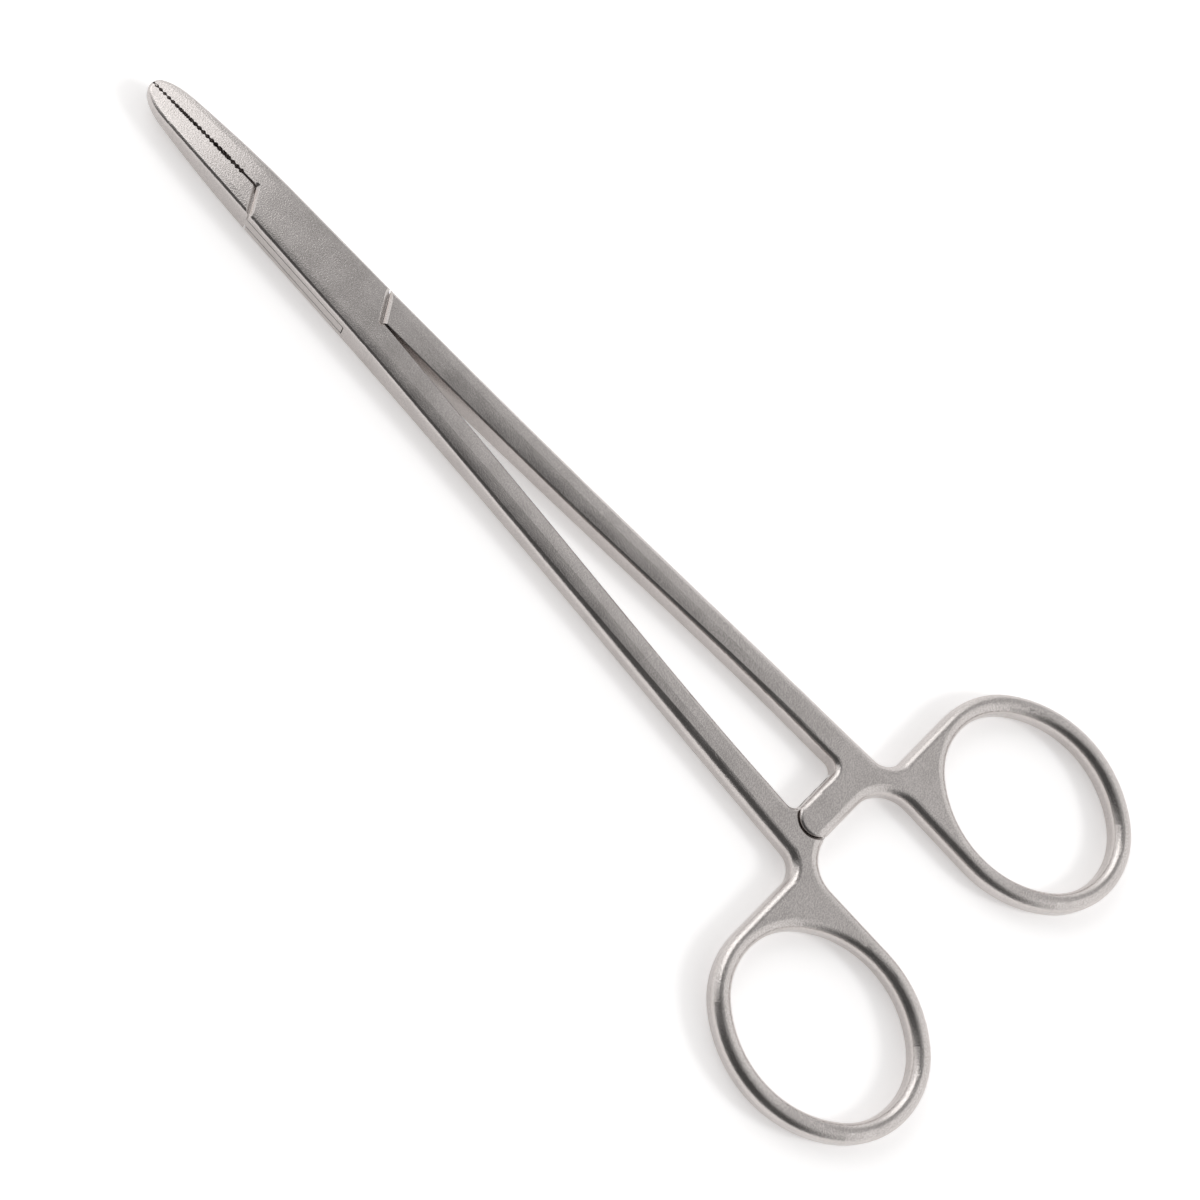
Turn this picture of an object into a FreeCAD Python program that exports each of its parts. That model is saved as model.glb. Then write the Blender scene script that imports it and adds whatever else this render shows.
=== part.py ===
import FreeCAD, Part
import math
import os

from FreeCAD import Vector

# Box-lock needle holder, closed and latched, lying on its broad face, in millimetres.
# The origin is on the pivot's axis, in the plane that the box rests on.
# +X runs to the finger rings, -X to the jaw tips, and the jaws part along Y.
# Two forged halves cross at the box: the box half has the +Y jaw and the -Y shank and ring,
# and the tongue half has the -Y jaw and passes through the box to the +Y shank and ring.

# Lengths along the instrument, from the pivot
tip_length = 31.0
jaw_shoulder_length = 25.5
jaw_taper_start = 9.0
slot_root = 11.8
crotch = 12.0
box_end = 14.0
shank_root_end = 45.0
ratchet_near = 92.4

# Half widths of the closed instrument at the middle of its thickness
tip_nose_half_width = 1.62
tip_shoulder_half_width = 2.66
jaw_root_half_width = 3.42
box_half_width = 4.18
shank_root_half_width = 4.93
shank_near_half_width = 5.8
shank_far_half_width = 7.27
ring_root_half_width = 8.86

# Half widths of the gap between the shanks
crotch_half_gap = 0.12
root_half_gap = 0.96
near_half_gap = 1.82
far_half_gap = 3.36
ratchet_half_gap = 4.34

# Thicknesses
box_thickness = 4.6
tip_thickness = 2.0
shank_thickness = 4.1
ring_thickness = 3.7
tongue_thickness = 1.6

# Finger rings: clear opening, bar width, place, and how round their ends are
ring_opening_length = 25.7
ring_opening_width = 20.8
ring_bar = 2.65
ring_setback = 15.6
ring_centre_y = 21.0
ring_end_roundness = 0.87

# Roundings of the long edges and of the corners in plan
tip_nose_depth = 1.1
jaw_side_slope = 0.075
box_edge_round = 0.5
crotch_edge_round = 0.11
outer_edge_round = 1.28
gap_edge_round = 0.85
ring_root_round = 2.8
web_round = 5.0
ratchet_corner_round = 1.4

# Soft shoulders of jaws and box, and the crowned backs of the shanks
shoulder_start = 0.65
shoulder_radius = 4.0
crown_radius = 5.0

# Box lock
tongue_radius = 9.8
slot_slope = 33.6
slot_gap = 0.2
slot_bevel_width = 0.6
slot_bevel_depth = 0.5
lock_clearance = 0.06
lock_groove = 0.1
lock_groove_depth = 0.25
jaw_tip_gap = 0.06
jaw_root_gap = 0.36
pin_diameter = 3.2
pin_running_clearance = 0.05

# Jaw serration
serration_pitch = 0.75
serration_depth = 0.22
serration_land = 0.06
serration_angle = 58.0
serration_end_margin = 0.8
jaw_groove_width = 0.5
jaw_groove_depth = 0.3
jaw_groove_end_margin = 2.2

# Ratchet
ratchet_width = 5.1
tooth_pitch = 2.0
tooth_height = 0.6
tooth_crest = 0.35
tooth_back = 0.12
tooth_count = 3
ratchet_clearance = 0.06
arm_nose_y = 2.58
arm_nose_round = 0.5
arm_nose_margin = 0.04
pocket_gap = 0.22
pocket_drop = 0.18

mid = box_thickness / 2
ratchet_far = ratchet_near + ratchet_width
ratchet_middle = (ratchet_near + ratchet_far) / 2
ring_centre_x = ratchet_far + ring_setback
ring_left = ring_centre_x - ring_opening_length / 2 - ring_bar
ring_end = ring_centre_x + ring_opening_length / 2 + ring_bar
ring_bottom = ring_centre_y - ring_opening_width / 2 - ring_bar
half_span = ring_centre_y + ring_opening_width / 2 + ring_bar
root_middle = (box_end + shank_root_end) / 2
shank_far = (shank_root_end + ratchet_near) / 2
jaw_gap_slope = (jaw_root_gap - jaw_tip_gap) / (tip_length - slot_root)
jaw_rear = -slot_root - serration_end_margin

# How far cutting shapes stand past the body, and how close counts as the same place
overshoot = 1.0
touch = 0.001
level_normal = 0.8

# Where the shanks run into the webs, and the steps of the lofts
rear_start = ratchet_near - web_round
jaw_steps = 5
shank_steps = 4

# Middle line of a finger ring: a four-centre oval
ring_half_length = (ring_opening_length + ring_bar) / 2
ring_half_width = (ring_opening_width + ring_bar) / 2
end_radius = ring_end_roundness * ring_half_width
end_shift = ring_half_length - end_radius
side_radius = (end_shift ** 2 + ring_half_width ** 2 - end_radius ** 2) / 2 / (ring_half_width - end_radius)
side_shift = side_radius - ring_half_width
joint_angle = math.degrees(math.atan2(side_shift, end_shift))


def plan_line(start, end):
    return Part.makeLine(Vector(start[0], start[1], 0), Vector(end[0], end[1], 0))


def plan_spline(points, start_slope, end_slope):
    curve = Part.BSplineCurve()
    curve.interpolate(
        Points=[Vector(x, y, 0) for x, y in points],
        InitialTangent=Vector(start_slope[0], start_slope[1], 0),
        FinalTangent=Vector(end_slope[0], end_slope[1], 0),
    )
    return curve.toShape()


def plan_arc(centre, radius, start_degrees, end_degrees):
    axis = Vector(0, 0, 1)
    return Part.makeCircle(radius, Vector(centre[0], centre[1], 0), axis, start_degrees, end_degrees)


def oval_arcs():
    """Centre, radius and angles of the arcs of the ring's middle line, from its lowest point on."""
    above = (ring_centre_x, ring_centre_y + side_shift)
    right = (ring_centre_x + end_shift, ring_centre_y)
    below = (ring_centre_x, ring_centre_y - side_shift)
    left = (ring_centre_x - end_shift, ring_centre_y)
    return [
        (above, side_radius, -90, -joint_angle),
        (right, end_radius, -joint_angle, joint_angle),
        (below, side_radius, joint_angle, 180 - joint_angle),
        (left, end_radius, 180 - joint_angle, 180),
        (left, end_radius, 180, 180 + joint_angle),
        (above, side_radius, 180 + joint_angle, 270),
    ]


def ring_edges(offset, count):
    """The first arcs of the ring's outline, offset from its middle line."""
    arcs = oval_arcs()[:count]
    return [plan_arc(centre, radius + offset, start, end) for centre, radius, start, end in arcs]


def mirrored(shape):
    return shape.mirror(Vector(0, 0, 0), Vector(0, 1, 0))


def closed_wire(edges):
    return Part.Wire(Part.__sortEdges__(edges))


def extruded(corners, run):
    return Part.Face(Part.makePolygon(corners + corners[:1])).extrude(run)


def prism(points, bottom, top):
    return extruded([Vector(x, y, bottom) for x, y in points], Vector(0, 0, top - bottom))


def fused(shapes):
    return shapes[0].fuse(shapes[1:])


def only_solid(shape):
    return max(shape.Solids, key=lambda solid: solid.Volume)


def outer_outline():
    """The closed instrument's outline at mid thickness, upper half and its mirror image."""
    shank_slope = (ring_root_half_width - shank_far_half_width) / (ring_left - shank_far)
    tilt = math.atan(shank_slope)
    corner_x = ring_left - ring_root_round
    root = (corner_x + ring_root_round * math.sin(tilt), ring_root_half_width)
    corner_y = root[1] + ring_root_round * math.cos(tilt)
    shoulder = (-jaw_shoulder_length, tip_shoulder_half_width)
    nose = plan_spline(
        [(-tip_length, 0), (tip_nose_depth - tip_length, tip_nose_half_width), shoulder],
        (0, 1), (1, jaw_side_slope),
    )
    side = plan_spline(
        [shoulder, (-slot_root, jaw_root_half_width), (box_end, box_half_width),
         (root_middle, shank_root_half_width), (shank_root_end, shank_near_half_width),
         (shank_far, shank_far_half_width), root],
        (1, jaw_side_slope), (1, shank_slope),
    )
    web_x = ratchet_far + web_round
    web_y = ring_bottom - web_round
    upper = [
        nose,
        side,
        plan_arc((corner_x, corner_y), ring_root_round, -90 + math.degrees(tilt), 0),
        plan_line((ring_left, corner_y), (ring_left, ring_centre_y)),
        *ring_edges(ring_bar / 2, 4),
        plan_line((ring_centre_x, ring_bottom), (web_x, ring_bottom)),
        plan_arc((web_x, web_y), web_round, 90, 180),
        plan_line((ratchet_far, web_y), (ratchet_far, 0)),
    ]
    return closed_wire(upper + [mirrored(edge) for edge in upper])


def gap_outline():
    """The long opening between the shanks, from the crotch to the ratchet arms."""
    gap_slope = (ratchet_half_gap - far_half_gap) / (ratchet_near - shank_far)
    start_slope = (root_half_gap - crotch_half_gap) / (root_middle - crotch)
    tilt = math.atan(gap_slope)
    corner_x = ratchet_near - ratchet_corner_round
    last = (corner_x - ratchet_corner_round * math.sin(tilt), ratchet_half_gap)
    corner_y = last[1] - ratchet_corner_round * math.cos(tilt)
    nose_x = crotch + crotch_half_gap
    inner = plan_spline(
        [(nose_x, crotch_half_gap), (root_middle, root_half_gap), (shank_root_end, near_half_gap),
         (shank_far, far_half_gap), last],
        (1, start_slope), (1, gap_slope),
    )
    upper = [
        inner,
        plan_arc((corner_x, corner_y), ratchet_corner_round, 0, 90 + math.degrees(tilt)),
        plan_line((ratchet_near, corner_y), (ratchet_near, 0)),
    ]
    nose = plan_arc((nose_x, 0), crotch_half_gap, 90, 270)
    return closed_wire(upper + [mirrored(edge) for edge in upper] + [nose])


def side_spline(points, start_slope, end_slope):
    curve = Part.BSplineCurve()
    curve.interpolate(
        Points=[Vector(x, 0, z) for x, z in points],
        InitialTangent=Vector(1, 0, start_slope),
        FinalTangent=Vector(1, 0, end_slope),
    )
    return curve.toShape()


def side_line(start, end):
    return Part.makeLine(Vector(start[0], 0, start[1]), Vector(end[0], 0, end[1]))


def side_profile():
    """The side view: level over the box, thinning to the tips and along the shanks to the rings."""
    front = -tip_length
    back = ring_end + overshoot
    level_start = ring_left + ring_bar / 2
    thinning = (box_thickness - ring_thickness) / 2 / (level_start - box_end)
    edges = []
    for way in (1, -1):
        tip = mid + way * tip_thickness / 2
        box = mid + way * box_thickness / 2
        shank = mid + way * shank_thickness / 2
        ring = mid + way * ring_thickness / 2
        edges += [
            side_line((front - overshoot, tip - way * overshoot * jaw_side_slope), (front, tip)),
            side_spline([(front, tip), (-jaw_taper_start, box)], way * jaw_side_slope, 0),
            side_line((-jaw_taper_start, box), (box_end, box)),
            side_spline([(box_end, box), (shank_root_end, shank)], 0, -way * thinning),
            side_spline([(shank_root_end, shank), (level_start, ring)], -way * thinning, 0),
            side_line((level_start, ring), (back, ring)),
        ]
    front_half = tip_thickness / 2 - overshoot * jaw_side_slope
    back_half = ring_thickness / 2
    edges.append(side_line((front - overshoot, mid - front_half), (front - overshoot, mid + front_half)))
    edges.append(side_line((back, mid - back_half), (back, mid + back_half)))
    reach = half_span + overshoot
    profile = Part.Face(closed_wire(edges)).extrude(Vector(0, 2 * reach, 0))
    profile.translate(Vector(0, -reach, 0))
    return profile


def blank():
    """The closed instrument with sharp edges: plan outline and side view intersected."""
    holes = [closed_wire(ring_edges(-ring_bar / 2, 6))]
    holes.append(mirrored(holes[0]))
    face = Part.makeFace([outer_outline(), gap_outline()] + holes, "Part::FaceMakerBullseye")
    slab = face.extrude(Vector(0, 0, box_thickness + 2 * overshoot))
    slab.translate(Vector(0, 0, -overshoot))
    return only_solid(slab.common(side_profile()))


def is_broad(face):
    u0, u1, v0, v1 = face.ParameterRange
    return abs(face.normalAt((u0 + u1) / 2, (v0 + v1) / 2).z) > level_normal


def rim_edges(solid):
    """Edges between a broad face and a side wall."""
    sides = {}
    for face in solid.Faces:
        for edge in face.Edges:
            sides.setdefault(edge.hashCode(), []).append((is_broad(face), edge))
    return [pair[0][1] for pair in sides.values() if len(pair) == 2 and pair[0][0] != pair[1][0]]


def edge_middle(edge):
    return edge.valueAt((edge.FirstParameter + edge.LastParameter) / 2)


def slab_between(start, end):
    reach = half_span + overshoot
    corners = [(start, -reach), (end, -reach), (end, reach), (start, reach)]
    return prism(corners, -overshoot, box_thickness + overshoot)


def front_rims(front, beside_gap):
    """The long edges of jaws and box, or else those beside the gap between the shanks."""
    chosen = []
    for edge in rim_edges(front):
        place = edge_middle(edge)
        at_gap = place.x > slot_root and abs(place.y) < box_half_width / 2
        if place.x < box_end - touch and at_gap == beside_gap:
            chosen.append(edge)
    return chosen


def across_line(x, start, end):
    return Part.makeLine(Vector(x, start[0], start[1]), Vector(x, end[0], end[1]))


def across_arc(x, centre, radius, way, start, end):
    """Arc across the instrument, with its angles counted from straight up, towards way along Y."""
    points = []
    for angle in (start, (start + end) / 2, end):
        y = centre[0] + way * radius * math.sin(angle)
        points.append(Vector(x, y, centre[1] + radius * math.cos(angle)))
    return Part.Arc(*points).toShape()


def with_underside(x, edges, ends):
    """Closes a section whose upper edges come down to the given ends, the same below as above."""
    below = [edge.mirror(Vector(0, 0, mid), Vector(0, 0, 1)) for edge in edges]
    walls = [across_line(x, (y, z), (y, 2 * mid - z)) for y, z in ends]
    return closed_wire(edges + below + walls)


def shoulder_section(x, half_width, top):
    """Level in the middle, falling away to both sides, a little wider than the instrument."""
    flat = shoulder_start * half_width
    side = half_width + overshoot / 2
    angle = math.asin((side - flat) / shoulder_radius)
    edges = [across_line(x, (-flat, top), (flat, top))]
    ends = []
    for way in (1, -1):
        edges.append(across_arc(x, (way * flat, top - shoulder_radius), shoulder_radius, way, 0, angle))
        ends.append((way * side, top - shoulder_radius + shoulder_radius * math.cos(angle)))
    return with_underside(x, edges, ends)


def cut_size(sharp, x):
    """Extent of the +Y part of the section at x."""
    boxes = [wire.BoundBox for wire in sharp.slice(Vector(1, 0, 0), x)]
    return max(boxes, key=lambda box: box.YMax)


def shoulder_room(sharp):
    """The space of the jaws and the box under their soft shoulders."""
    start = tip_nose_depth - tip_length
    length = -jaw_taper_start - start
    ahead = mid + tip_thickness / 2 - overshoot * jaw_side_slope
    sections = [shoulder_section(-tip_length - overshoot, tip_nose_half_width, ahead)]
    for x in [start + length * step / jaw_steps for step in range(jaw_steps + 1)] + [box_end]:
        cut = cut_size(sharp, x - touch)
        sections.append(shoulder_section(x, cut.YMax, cut.ZMax))
    jaws = Part.makeLoft(sections[:-1], True, False)
    return jaws.fuse(Part.makeLoft(sections[-2:], True, True))


def rounded_front(sharp):
    """Jaws and box, up to the shank roots."""
    front = only_solid(sharp.common(slab_between(-tip_length - overshoot, box_end)))
    front = only_solid(front.common(shoulder_room(sharp)))
    front = front.makeFillet(box_edge_round, front_rims(front, False))
    return front.makeFillet(crotch_edge_round, front_rims(front, True))


def rounded_rear(sharp):
    """Webs, ring roots and the bridge that becomes the ratchet arms."""
    corners = [(rear_start, -ring_centre_y), (ring_centre_x, -ring_centre_y),
               (ring_centre_x, ring_centre_y), (rear_start, ring_centre_y)]
    rear = only_solid(sharp.common(prism(corners, -overshoot, box_thickness + overshoot)))
    outer, gap = [], []
    for edge in rim_edges(rear):
        place = edge_middle(edge)
        at_gap = place.x < ratchet_near + touch and abs(place.y) < ratchet_half_gap + touch
        at_end = place.x < rear_start + touch or place.x > ring_centre_x - touch
        if not at_end and abs(place.y) < ring_centre_y - touch:
            (gap if at_gap else outer).append(edge)
    rear = rear.makeFillet(gap_edge_round, gap)
    return rear.makeFillet(outer_edge_round, outer)


def outward(solid):
    return solid.reversed() if solid.Volume < 0 else solid


def bar_section():
    """Across the ring's bar at its lowest point."""
    middle = ring_centre_y - ring_half_width
    level = ring_bar / 2 - outer_edge_round
    top = mid + ring_thickness / 2
    edges = [across_line(ring_centre_x, (middle - level, top), (middle + level, top))]
    ends = []
    for way in (1, -1):
        centre = (middle + way * level, top - outer_edge_round)
        edges.append(across_arc(ring_centre_x, centre, outer_edge_round, way, 0, math.pi / 2))
        ends.append((middle + way * ring_bar / 2, top - outer_edge_round))
    return Part.Face(with_underside(ring_centre_x, edges, ends))


def free_ring():
    """The +Y ring from its lowest point round to its side, where it meets its root."""
    section = bar_section()
    pieces = []
    for centre, radius, start, end in oval_arcs()[:4]:
        axis_place = Vector(centre[0], centre[1], 0)
        pieces.append(outward(section.revolve(axis_place, Vector(0, 0, 1), end - start)))
        section = section.copy()
        section.rotate(axis_place, Vector(0, 0, 1), end - start)
    return fused(pieces)


def end_face(solid, x):
    """The +Y end face at x."""
    for face in solid.Faces:
        if abs(face.CenterOfMass.x - x) < touch and face.CenterOfMass.y > 0:
            return face
    raise ValueError("no end face")


def shank_section(x, cut, share):
    """Across the shank: its back crowned, rounder the further it is from the box."""
    gap_round = crotch_edge_round + share * (gap_edge_round - crotch_edge_round)
    outer_round = box_edge_round + share * (outer_edge_round - box_edge_round)
    middle = (cut.YMin + cut.YMax) / 2
    crest = middle + (shoulder_start * cut.YMax - middle) * (1 - share) ** 2
    bend = 4 * share * (1 - share) / crown_radius
    shoulder_bend = bend + (1 - share) ** 4 / shoulder_radius
    edges, ends = [], []
    for side, corner, curvature in ((cut.YMin, gap_round, bend), (cut.YMax, outer_round, shoulder_bend)):
        way = 1 if side > crest else -1
        radius = 1 / curvature
        reach = abs(side - crest) - corner
        angle = math.asin(reach / (radius - corner))
        corner_centre = (side - way * corner, cut.ZMax - radius + (radius - corner) * math.cos(angle))
        edges.append(across_arc(x, (crest, cut.ZMax - radius), radius, way, 0, angle))
        edges.append(across_arc(x, corner_centre, corner, way, angle, math.pi / 2))
        ends.append((side, corner_centre[1]))
    return with_underside(x, edges, ends)


def halved_backs(face):
    """Outline of an end face, with its level edges parted in the middle."""
    edges = []
    for edge in face.OuterWire.Edges:
        level = edge.BoundBox.ZLength < touch
        edges += edge.split((edge.FirstParameter + edge.LastParameter) / 2).Edges if level else [edge]
    return closed_wire(edges)


def shank(sharp, front, rear):
    """The +Y shank from the box to the web."""
    sections = [end_face(front, box_end).OuterWire]
    length = rear_start - box_end
    for step in range(1, shank_steps):
        share = step / shank_steps
        x = box_end + share * length
        sections.append(shank_section(x, cut_size(sharp, x), share))
    sections.append(halved_backs(end_face(rear, rear_start)))
    return Part.makeLoft(sections, True, False)


def closed_instrument():
    """Both halves as one rounded body, because their surfaces run on across the box."""
    sharp = blank()
    front = rounded_front(sharp)
    rear = rounded_rear(sharp)
    upper = [shank(sharp, front, rear), free_ring()]
    return only_solid(front.fuse([rear] + upper + [mirrored(piece) for piece in upper]).removeSplitter())


def turned_end(shape):
    """Half a turn about the pivot."""
    turned = shape.copy()
    turned.rotate(Vector(0, 0, 0), Vector(0, 0, 1), 180)
    return turned


def turned_over(shape):
    """Half a turn about the instrument's long axis."""
    turned = shape.copy()
    turned.rotate(Vector(0, 0, mid), Vector(1, 0, 0), 180)
    return turned


def slot_point(along, across):
    """A point of the front slot: along it from its root to the side, and across it towards the box."""
    angle = math.radians(slot_slope)
    x = -slot_root + along * math.sin(angle) + across * math.cos(angle)
    y = -along * math.cos(angle) + across * math.sin(angle)
    return (x, y)


def slot_start(across, y):
    """Where the slot's edge crosses the line at y."""
    along = (across * math.sin(math.radians(slot_slope)) - y) / math.cos(math.radians(slot_slope))
    return slot_point(along, across)


def arm_nose(radius, drop, start_z, end_round):
    """The rounded end of the upper ratchet arm, with the bar behind it up to the centre line."""
    centre_y = -arm_nose_y - drop
    left = ratchet_middle - radius
    right = ratchet_middle + radius
    outline = closed_wire([
        plan_arc((ratchet_middle, centre_y), radius, 180, 360),
        plan_line((right, centre_y), (right, overshoot)),
        plan_line((right, overshoot), (left, overshoot)),
        plan_line((left, overshoot), (left, centre_y)),
    ])
    top = mid + ring_thickness / 2
    outline.translate(Vector(0, 0, start_z))
    if end_round == 0:
        return Part.Face(outline).extrude(Vector(0, 0, top + overshoot - start_z))
    nose = Part.Face(outline).extrude(Vector(0, 0, top - start_z))
    middles = [(edge, edge_middle(edge)) for edge in nose.Edges]
    ends = [edge for edge, place in middles if abs(place.z - top) < touch and place.y < overshoot - touch]
    return nose.makeFillet(end_round, ends)


def before_slot(far, root, across):
    """All that lies in front of the slot and on the -Y side of a line from far to the slot's root."""
    wide = half_span + overshoot
    corners = [far, root, slot_point(2 * wide, across), (far[0], -2 * wide)]
    return prism(corners, -overshoot, box_thickness + overshoot)


def tongue_level(extra):
    """The tongue's plate through the box, larger by extra all round."""
    bottom = mid - tongue_thickness / 2 - extra
    return Part.makeCylinder(tongue_radius + extra, tongue_thickness + 2 * extra, Vector(0, 0, bottom))


def tongue_space(side):
    """The room of the tongue half: with side -1 its own, and with side 1 what it needs cleared.

    The halves part by the jaw gaps, slot_gap, lock_clearance and ratchet_clearance, shared between them.
    """
    slot = side * slot_gap / 2
    lock = side * lock_clearance / 2
    nose_y = side * (jaw_tip_gap - overshoot * jaw_gap_slope) / 2
    jaw = before_slot((-tip_length - overshoot, nose_y), slot_start(slot, side * jaw_root_gap / 2), slot)
    shank_side = turned_end(before_slot((-ring_end - overshoot, lock), slot_start(slot, lock), slot))
    level = (mid - tongue_thickness / 2 - lock, mid + tongue_thickness / 2 + lock)
    neck_start = -slot_root - overshoot
    seam = side * jaw_root_gap / 2
    neck_corners = [(neck_start, seam), (0, seam), (0, -tongue_radius), (neck_start, -tongue_radius)]
    neck = prism(neck_corners, *level)
    radius = ratchet_width / 2 + arm_nose_margin
    own = arm_nose(radius, 0, mid + ratchet_clearance / 2, arm_nose_round)
    pocket = arm_nose(radius + pocket_gap, pocket_drop, mid - ratchet_clearance / 2, 0)
    upper, lower = (own, pocket) if side < 0 else (pocket, own)
    space = fused([jaw, shank_side, tongue_level(lock), neck, turned_end(neck), upper])
    return space.cut(turned_over(lower))


def lock_grooves():
    """The fine grooves along the edges of the slot in both sides of the box."""
    tools = []
    for way in (1, -1):
        inner = [(-slot_root, way * (jaw_root_half_width - lock_groove_depth)),
                 (box_end, way * (box_half_width - lock_groove_depth))]
        outer = [(box_end, way * 2 * box_half_width), (-slot_root, way * 2 * box_half_width)]
        tools.append(tongue_level(lock_groove).common(prism(inner + outer, 0, box_thickness)))
    return tools


def slot_bevels():
    """The filed bevels along both slots, on both broad faces, as cutting tools."""
    raised = slot_bevel_width * (1 + overshoot / slot_bevel_depth)
    floor_z = box_thickness - slot_bevel_depth
    top_z = box_thickness + overshoot
    root = Vector(*slot_point(0, 0), 0)
    run = Vector(*slot_point(2 * box_half_width, 0), 0) - root
    heights = ((-raised, top_z), (raised, top_z), (0, floor_z))
    groove = extruded([Vector(*slot_point(0, across), z) for across, z in heights], run)
    cone = Part.makeCone(0, raised, top_z - floor_z, root + Vector(0, 0, floor_z))
    bevel = groove.fuse(cone)
    tools = [bevel, turned_end(bevel)]
    return tools + [turned_over(mirrored(tool)) for tool in tools]


def groove_family(face_y, way, lean):
    """Parallel V grooves over a jaw face, all leaning one way from the tip to the box."""
    angle = math.radians(serration_angle)
    half_width = (serration_pitch * math.sin(angle) - serration_land) / 2
    side = Vector(-lean * math.sin(angle), 0, math.cos(angle)) * (2 * half_width)
    run = Vector(math.cos(angle), 0, lean * math.sin(angle)) * (2 * box_thickness)
    lift = Vector(0, -way * serration_depth, 0)
    last = jaw_rear + (box_thickness - serration_pitch) / 2
    count = math.ceil((tip_length + last + box_thickness / 2) / serration_pitch)
    grooves = []
    for index in range(count):
        start = Vector(last - index * serration_pitch, face_y, mid) - run * 0.5
        grooves.append(extruded([start + lift - side, start + lift + side, start - lift], run))
    return Part.makeCompound(grooves)


def serrations(way):
    """What is cut from the jaw face on the way side: crossed grooves and a long groove."""
    face_y = way * jaw_tip_gap / 2
    depth = 2 * serration_depth
    corner = Vector(jaw_rear - tip_length, face_y - depth, mid - box_thickness)
    room = Part.makeBox(tip_length, 2 * depth, 2 * box_thickness, corner)
    start = jaw_groove_end_margin - tip_length
    length = jaw_rear - jaw_groove_end_margin - start
    corner = Vector(start, face_y - jaw_groove_depth, mid - jaw_groove_width / 2)
    long_groove = Part.makeBox(length, 2 * jaw_groove_depth, jaw_groove_width, corner)
    tools = [groove_family(face_y, way, lean).common(room) for lean in (1, -1)] + [long_groove]
    lean_back = math.degrees(math.atan(way * jaw_gap_slope / 2))
    for tool in tools:
        tool.rotate(Vector(-tip_length, face_y, 0), Vector(0, 0, 1), lean_back)
    return tools


def ratchet_valleys():
    """The valleys between the teeth on the underside of the upper arm, each with one steep side."""
    seat = mid + ratchet_clearance / 2
    start_x = ratchet_near - overshoot
    run = Vector(ratchet_width + 2 * overshoot, 0, 0)
    valleys = []
    for index in range(tooth_count):
        steep = (index - tooth_count / 2) * tooth_pitch
        crest = steep + tooth_pitch - tooth_crest
        profile = [
            (steep, seat - tooth_height), (steep, seat), (steep + tooth_back, seat + tooth_height),
            (crest, seat), (crest, seat - tooth_height),
        ]
        valleys.append(extruded([Vector(start_x, y, z) for y, z in profile], run))
    return valleys


def tongue_half(body, bevels):
    half = body.common(tongue_space(-1))
    bore = Part.makeCylinder(pin_diameter / 2 + pin_running_clearance, box_thickness)
    half = half.cut([bore] + bevels + ratchet_valleys())
    for family in serrations(-1):
        half = half.cut(family)
    return half


def box_half(body, bevels):
    half = body.cut(tongue_space(1))
    bore = Part.makeCylinder(pin_diameter / 2, box_thickness)
    half = half.cut([bore] + bevels + lock_grooves() + [turned_over(tool) for tool in ratchet_valleys()])
    for family in serrations(1):
        half = half.cut(family)
    return half


def pivot_pin():
    return Part.makeCylinder(pin_diameter / 2, box_thickness)


def main():
    body = closed_instrument()
    bevels = slot_bevels()
    pieces = {
        "tongue_half": tongue_half(body, bevels),
        "box_half": box_half(body, bevels),
        "pivot_pin": pivot_pin(),
    }
    os.makedirs("parts", exist_ok=True)
    for name, shape in pieces.items():
        shape.exportStep("parts/" + name + ".step")
        print(name, "solids", len(shape.Solids), "valid", shape.isValid(), "volume", round(shape.Volume, 1))


main()
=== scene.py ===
import math

import bpy
from mathutils import Matrix, Vector

# Looks of the needle holder: satin steel, lying on a white table in soft studio light.
# Everything is in metres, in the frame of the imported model.

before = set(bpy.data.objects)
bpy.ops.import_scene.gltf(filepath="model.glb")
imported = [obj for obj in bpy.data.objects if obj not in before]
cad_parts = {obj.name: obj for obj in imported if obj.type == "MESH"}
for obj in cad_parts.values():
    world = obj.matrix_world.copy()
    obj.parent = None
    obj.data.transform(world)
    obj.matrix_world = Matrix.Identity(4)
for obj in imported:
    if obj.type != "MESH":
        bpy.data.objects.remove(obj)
bpy.context.view_layer.update()

# Camera: where the photograph was taken from
view_elevation = 66.0
view_azimuth = 3.79
view_roll = 43.45
view_distance = 0.3175
view_target = Vector((0.05627, -0.00348, 0.0025))
view_lens = 75.49
view_nearest = 0.01
view_farthest = 20.0

# Table: it just touches the box at the rear and the rings' far ends
floor_colour = (0.88, 0.88, 0.88)
floor_radius = 3.0
floor_sides = 96
floor_glow = 0.375
glow_colour = (1.0, 0.970, 0.962)
box_rear = 0.014
ring_far_end = 0.1275
ring_lift = 0.00045

# Room: its brightness by direction, dim on the camera's side and bright beyond both ends
room_colour = (0.8, 0.8, 0.8)
camera_side_strength = 0.12
far_side_strength = 0.76
far_side_start = -0.32
far_side_full = 0.95
horizon_strength = 0.40
horizon_height = 0.42
left_end_strength = 1.35
left_end_start = 0.20
left_end_lean = 0.45
right_end_strength = 1.15
right_end_start = -0.22
right_end_lean = 1.1
end_full = 0.78
brightest = 1.3

# Lamps: the steel mirrors the window, and the shadow lamp only makes the soft shadow
lamp_distance = 1.1
window_azimuth = 163
window_elevation = 46
window_size = 0.75
window_power = 1.5
shadow_lamp_azimuth = 26
shadow_lamp_elevation = 41
shadow_lamp_size = 0.22
shadow_lamp_power = 2.6

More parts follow.
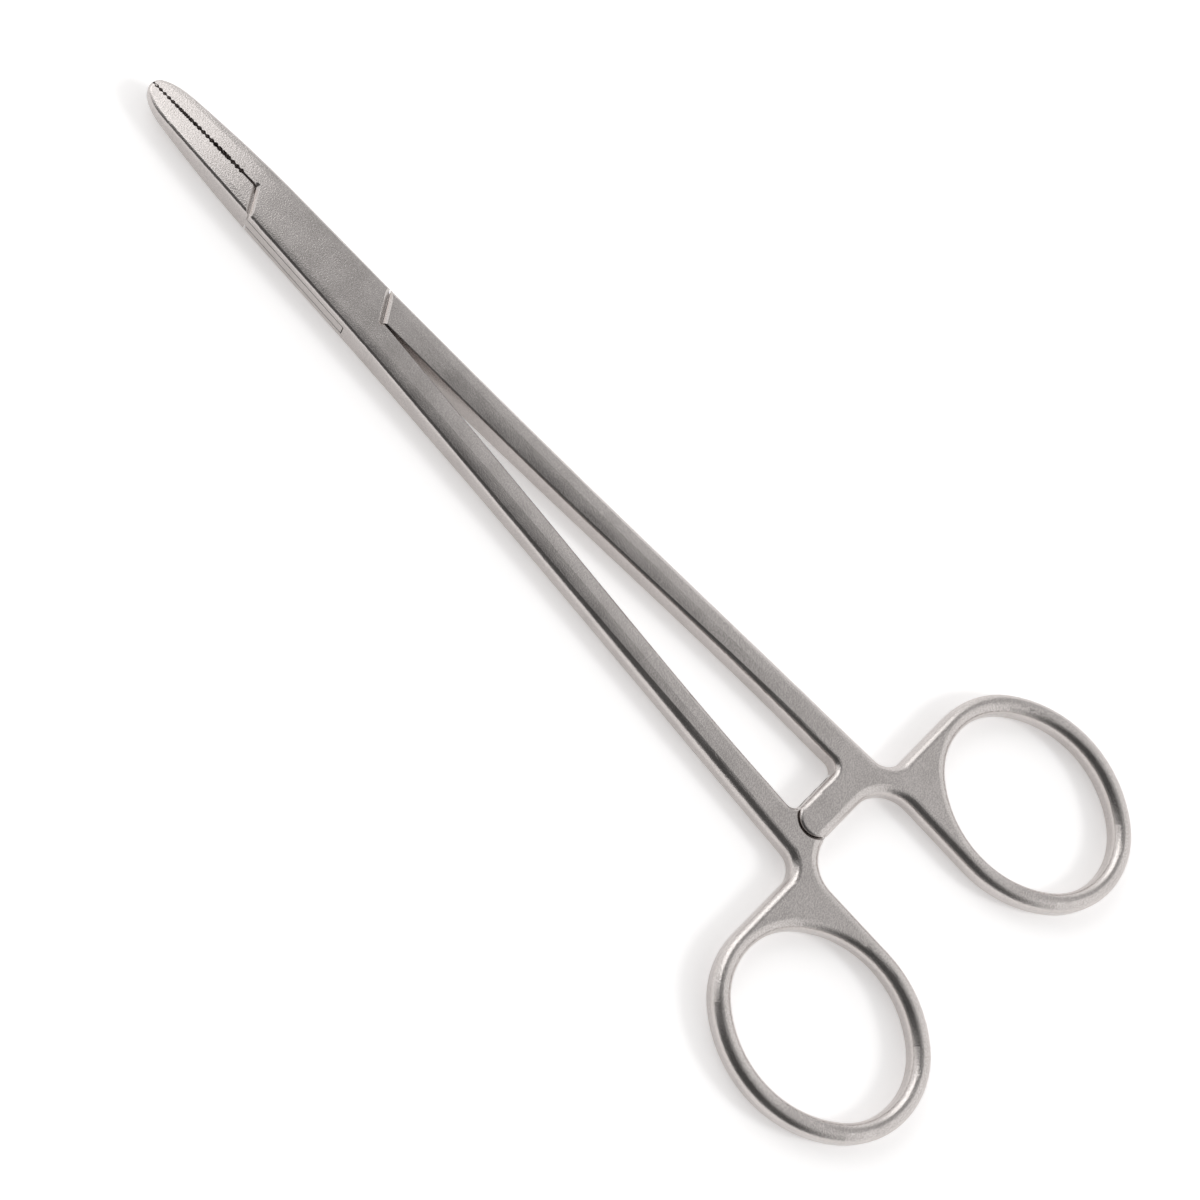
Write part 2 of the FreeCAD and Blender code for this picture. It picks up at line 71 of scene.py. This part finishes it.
# Steel: clouding, grain and streaks, as ranges of the noise that each is made from
steel_colour = (0.595, 0.558, 0.540)
stained_colour = (0.555, 0.520, 0.502)
cloud_size = 0.004
cloud_detail = 4.0
cloud_low = 0.3
cloud_high = 0.62
grain_size = 0.00017
grain_detail = 2.0
grain_low = 0.3
grain_high = 0.7
grain_shade = 0.10
grain_depth = 0.000021
streak_size = 0.0005
streak_detail = 2.0
streak_ratio = 7.0
streak_depth = 0.000004
wear_low = 0.7
wear_high = 1.3
polished_roughness = 0.16
dull_roughness = 0.25

# Where the brushing turns from the shanks to the rings
ring_centre_x = 0.1131
ring_centre_y = 0.0210
ring_start = 0.0975
ring_middle_radius = 0.0116


def new_material(name):
    material = bpy.data.materials.new(name)
    material.use_nodes = True
    nodes = material.node_tree.nodes
    nodes.clear()
    return material, nodes, material.node_tree.links


def feed(links, value, socket):
    """Gives an input socket another node's output, a number or a colour."""
    if isinstance(value, bpy.types.NodeSocket):
        links.new(value, socket)
    else:
        socket.default_value = value


def math_node(nodes, links, operation, *values):
    """A maths node whose inputs are sockets or numbers."""
    node = nodes.new("ShaderNodeMath")
    node.operation = operation
    for value, socket in zip(values, node.inputs):
        feed(links, value, socket)
    return node.outputs["Value"]


def mix(nodes, links, data_type, factor, first, second, blend_type="MIX"):
    """A mix of two vectors or two colours, for data_type VECTOR or RGBA."""
    kind = {"VECTOR": "Vector", "RGBA": "Color"}[data_type]
    node = nodes.new("ShaderNodeMix")
    node.data_type = data_type
    node.blend_type = blend_type
    inputs = {socket.identifier: socket for socket in node.inputs}
    outputs = {socket.identifier: socket for socket in node.outputs}
    feed(links, factor, inputs["Factor_Float"])
    feed(links, first, inputs["A_" + kind])
    feed(links, second, inputs["B_" + kind])
    return outputs["Result_" + kind]


def ramp(nodes, links, value, start, end, low, high):
    """A smooth step of value, from low at start to high at end."""
    node = nodes.new("ShaderNodeMapRange")
    node.interpolation_type = "SMOOTHSTEP"
    node.inputs["From Min"].default_value = start
    node.inputs["From Max"].default_value = end
    node.inputs["To Min"].default_value = low
    node.inputs["To Max"].default_value = high
    links.new(value, node.inputs["Value"])
    return node.outputs["Result"]


def noise(nodes, links, place, size, detail):
    node = nodes.new("ShaderNodeTexNoise")
    node.inputs["Scale"].default_value = 1.0 / size
    node.inputs["Detail"].default_value = detail
    links.new(place, node.inputs["Vector"])
    return node.outputs["Fac"]


def vector(nodes, links, x, y, z):
    node = nodes.new("ShaderNodeCombineXYZ")
    for value, socket in zip((x, y, z), node.inputs):
        links.new(value, socket)
    return node.outputs["Vector"]


def brushing(nodes, links, place):
    """Coordinates that run along the shanks and round the rings, squeezed across them."""
    split = nodes.new("ShaderNodeSeparateXYZ")
    links.new(place, split.inputs["Vector"])
    x, y, z = split.outputs["X"], split.outputs["Y"], split.outputs["Z"]
    thin_y = math_node(nodes, links, "MULTIPLY", y, streak_ratio)
    thin_z = math_node(nodes, links, "MULTIPLY", z, streak_ratio)
    straight = vector(nodes, links, x, thin_y, thin_z)
    from_centre_x = math_node(nodes, links, "SUBTRACT", x, ring_centre_x)
    side_y = math_node(nodes, links, "ABSOLUTE", y)
    from_centre_y = math_node(nodes, links, "SUBTRACT", side_y, ring_centre_y)
    angle = math_node(nodes, links, "ARCTAN2", from_centre_y, from_centre_x)
    square_x = math_node(nodes, links, "POWER", from_centre_x, 2.0)
    square_y = math_node(nodes, links, "POWER", from_centre_y, 2.0)
    square = math_node(nodes, links, "ADD", square_x, square_y)
    radius = math_node(nodes, links, "SQRT", square)
    along = math_node(nodes, links, "MULTIPLY", angle, ring_middle_radius)
    thin_radius = math_node(nodes, links, "MULTIPLY", radius, streak_ratio)
    round_ring = vector(nodes, links, along, thin_radius, thin_z)
    at_ring = math_node(nodes, links, "GREATER_THAN", x, ring_start)
    return mix(nodes, links, "VECTOR", at_ring, straight, round_ring)


def satin_steel():
    """Blasted stainless steel, finely brushed along its length, with faint clouding."""
    material, nodes, links = new_material("satin_steel")
    output = nodes.new("ShaderNodeOutputMaterial")
    shader = nodes.new("ShaderNodeBsdfPrincipled")
    shader.inputs["Metallic"].default_value = 1.0
    links.new(shader.outputs["BSDF"], output.inputs["Surface"])

    place = nodes.new("ShaderNodeTexCoord").outputs["Object"]
    brushed = brushing(nodes, links, place)
    cloud = noise(nodes, links, place, cloud_size, cloud_detail)
    grain = noise(nodes, links, place, grain_size, grain_detail)
    streak = noise(nodes, links, brushed, streak_size, streak_detail)

    clean = ramp(nodes, links, cloud, cloud_low, cloud_high, 0.0, 1.0)
    tint = mix(nodes, links, "RGBA", clean, (*stained_colour, 1), (*steel_colour, 1))
    darkest = 1.0 - grain_shade
    palest = 1.0 + grain_shade
    speckle = ramp(nodes, links, grain, grain_low, grain_high, darkest, palest)
    colour = mix(nodes, links, "RGBA", 1.0, tint, speckle, "MULTIPLY")
    links.new(colour, shader.inputs["Base Color"])

    wear = math_node(nodes, links, "ADD", cloud, streak)
    dullness = ramp(nodes, links, wear, wear_low, wear_high, polished_roughness, dull_roughness)
    links.new(dullness, shader.inputs["Roughness"])

    grain_height = math_node(nodes, links, "MULTIPLY", grain, grain_depth)
    streak_height = math_node(nodes, links, "MULTIPLY", streak, streak_depth)
    height = math_node(nodes, links, "ADD", grain_height, streak_height)
    bump = nodes.new("ShaderNodeBump")
    bump.inputs["Distance"].default_value = 1.0
    links.new(height, bump.inputs["Height"])
    links.new(bump.outputs["Normal"], shader.inputs["Normal"])
    return material


def dress(node, material):
    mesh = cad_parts[node].data
    mesh.materials.clear()
    mesh.materials.append(material)


def make_camera():
    elevation = math.radians(view_elevation)
    azimuth = math.radians(view_azimuth)
    roll = math.radians(view_roll)
    level = Vector((math.sin(azimuth), -math.cos(azimuth), 0))
    back = level * math.cos(elevation) + Vector((0, 0, math.sin(elevation)))
    right = Vector((math.cos(azimuth), math.sin(azimuth), 0))
    up = back.cross(right)
    turned_right = right * math.cos(roll) + up * math.sin(roll)
    turned_up = up * math.cos(roll) - right * math.sin(roll)
    camera = bpy.data.objects.new("camera", bpy.data.cameras.new("camera"))
    camera.data.lens = view_lens
    camera.data.clip_start = view_nearest
    camera.data.clip_end = view_farthest
    camera.matrix_world = Matrix((turned_right, turned_up, back)).transposed().to_4x4()
    camera.matrix_world.translation = view_target + back * view_distance
    bpy.context.scene.collection.objects.link(camera)
    bpy.context.scene.camera = camera


def make_floor():
    """A white table. Camera and mirror rays see it brighter than it lights the object."""
    material, nodes, links = new_material("white_table")
    output = nodes.new("ShaderNodeOutputMaterial")
    table = nodes.new("ShaderNodeBsdfDiffuse")
    table.inputs["Color"].default_value = (*floor_colour, 1)
    glow = nodes.new("ShaderNodeEmission")
    glow.inputs["Color"].default_value = (*glow_colour, 1)
    both = nodes.new("ShaderNodeAddShader")
    ray = nodes.new("ShaderNodeLightPath").outputs
    seen = math_node(nodes, links, "MAXIMUM", ray["Is Camera Ray"], ray["Is Glossy Ray"])
    links.new(math_node(nodes, links, "MULTIPLY", seen, floor_glow), glow.inputs["Strength"])
    for shader, socket in zip((table.outputs["BSDF"], glow.outputs["Emission"]), both.inputs):
        links.new(shader, socket)
    links.new(both.outputs["Shader"], output.inputs["Surface"])
    bpy.ops.mesh.primitive_circle_add(vertices=floor_sides, radius=floor_radius, fill_type="NGON")
    floor = bpy.context.object
    floor.name = "floor"
    tilt = math.atan(ring_lift / (ring_far_end - box_rear))
    floor.rotation_euler = (0, -tilt, 0)
    floor.location = (0, 0, -box_rear * math.tan(tilt))
    floor.data.materials.append(material)


def make_world():
    """A dim room on the camera's side, bright beyond both ends, that the camera sees pale."""
    world = bpy.data.worlds.new("studio")
    bpy.context.scene.world = world
    world.use_nodes = True
    nodes = world.node_tree.nodes
    links = world.node_tree.links
    nodes.clear()
    output = nodes.new("ShaderNodeOutputWorld")
    background = nodes.new("ShaderNodeBackground")
    background.inputs["Color"].default_value = (*room_colour, 1)
    place = nodes.new("ShaderNodeTexCoord")
    split = nodes.new("ShaderNodeSeparateXYZ")
    links.new(place.outputs["Generated"], split.inputs["Vector"])
    way_x, way_y, way_z = split.outputs["X"], split.outputs["Y"], split.outputs["Z"]
    far_side = ramp(
        nodes, links, way_y, far_side_start, far_side_full, camera_side_strength, far_side_strength
    )
    horizon = ramp(nodes, links, way_z, 0.0, horizon_height, horizon_strength, 0.0)
    camera_side = math_node(nodes, links, "MINIMUM", way_y, 0.0)
    strength = math_node(nodes, links, "ADD", far_side, horizon)
    ends = (
        (-1, left_end_strength, left_end_start, left_end_lean),
        (1, right_end_strength, right_end_start, right_end_lean),
    )
    for turn, end_strength, start, lean in ends:
        outward = math_node(nodes, links, "MULTIPLY", way_x, turn)
        leaned = math_node(nodes, links, "MULTIPLY", camera_side, lean)
        reach = math_node(nodes, links, "ADD", outward, leaned)
        end = ramp(nodes, links, reach, start, end_full, 0.0, end_strength)
        strength = math_node(nodes, links, "ADD", strength, end)
    strength = math_node(nodes, links, "MINIMUM", strength, brightest)
    seen = nodes.new("ShaderNodeLightPath").outputs["Is Camera Ray"]
    strength = math_node(nodes, links, "MAXIMUM", strength, seen)
    links.new(strength, background.inputs["Strength"])
    links.new(background.outputs["Background"], output.inputs["Surface"])


def softbox(name, azimuth, elevation, size, power, mirrored):
    """A square area lamp aimed at the object. Azimuth is counted from +X towards +Y."""
    lamp = bpy.data.lights.new(name, "AREA")
    lamp.shape = "SQUARE"
    lamp.size = size
    lamp.energy = power
    holder = bpy.data.objects.new(name, lamp)
    turn = math.radians(azimuth)
    rise = math.radians(elevation)
    level = Vector((math.cos(turn), math.sin(turn), 0)) * math.cos(rise)
    way = level + Vector((0, 0, math.sin(rise)))
    holder.location = view_target + way * lamp_distance
    holder.rotation_euler = way.to_track_quat("Z", "Y").to_euler()
    holder.visible_glossy = mirrored
    bpy.context.scene.collection.objects.link(holder)


steel = satin_steel()
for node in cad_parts:
    dress(node, steel)

make_camera()
make_floor()
make_world()
softbox("window", window_azimuth, window_elevation, window_size, window_power, True)
softbox(
    "shadow_lamp",
    shadow_lamp_azimuth,
    shadow_lamp_elevation,
    shadow_lamp_size,
    shadow_lamp_power,
    False,
)

bpy.context.scene.view_settings.view_transform = "Standard"

bpy.context.view_layer.update()
